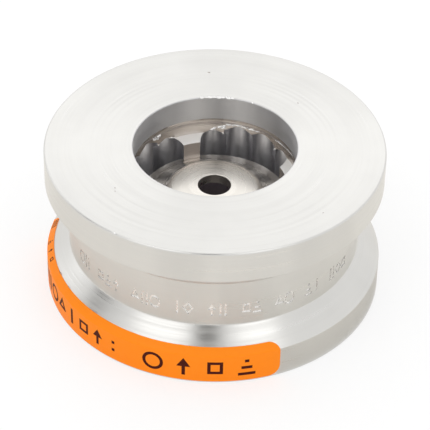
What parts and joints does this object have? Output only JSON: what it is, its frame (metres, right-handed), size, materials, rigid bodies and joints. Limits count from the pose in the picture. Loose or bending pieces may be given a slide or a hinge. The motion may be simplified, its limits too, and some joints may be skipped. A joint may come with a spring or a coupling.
{
  "type": "wafer non-return valve",
  "caption": "Short spool-shaped stainless steel wafer non-return valve with a spring-loaded lifting disc under a domed guide cap, clamped between two pipe flanges.",
  "frame": {"origin": "middle of the inlet face, at the bottom of the body", "axes": "+Z along the flow, from the inlet face to the outlet face; the label's printed front faces -Y"},
  "size_m": [0.0941, 0.0941, 0.045],
  "materials": {
    "body_stainless": "fine turned",
    "seat_stainless": "ground",
    "insert_ptfe": "waxy matte",
    "o_ring_rubber": "matte",
    "ring_stainless": "fine turned",
    "pin_steel": "drawn",
    "disc_stainless": "fine turned",
    "stem_stainless": "ground",
    "screw_stainless": "cold formed",
    "washer_stainless": "stamped",
    "spring_wire": "drawn wire",
    "cap_stainless": "polished",
    "bush_filled_ptfe": "machined",
    "label_film": "printed film"
  },
  "bodies": {
    "casing": {"valve_body": "body_stainless", "seat_ring": "seat_stainless", "seat_insert": "insert_ptfe", "seat_o_ring": "o_ring_rubber", "retaining_ring": "ring_stainless", "retaining_ring_pins": "pin_steel", "closing_spring": "spring_wire", "upper_spring_washer": "washer_stainless", "guide_cap": "cap_stainless", "guide_bush": "bush_filled_ptfe", "identification_label": "label_film"},
    "spring_plate": {"lower_spring_washer": "washer_stainless"},
    "disc": {"valve_disc": "disc_stainless", "guide_stem": "stem_stainless", "disc_screw": "screw_stainless"}
  },
  "joints": [
    {"name": "disc_lift", "type": "slide", "parent": "casing", "child": "spring_plate", "axis": [0, 0, 1], "range_m": [0, 0.007], "stiffness_N_per_m": 580, "springref_m": -0.0045, "deforming": ["closing_spring"]},
    {"name": "disc_spin", "type": "hinge", "parent": "spring_plate", "child": "disc", "pos_m": [0, 0, 0.0109], "axis": [0, 0, 1], "continuous": true}
  ]
}
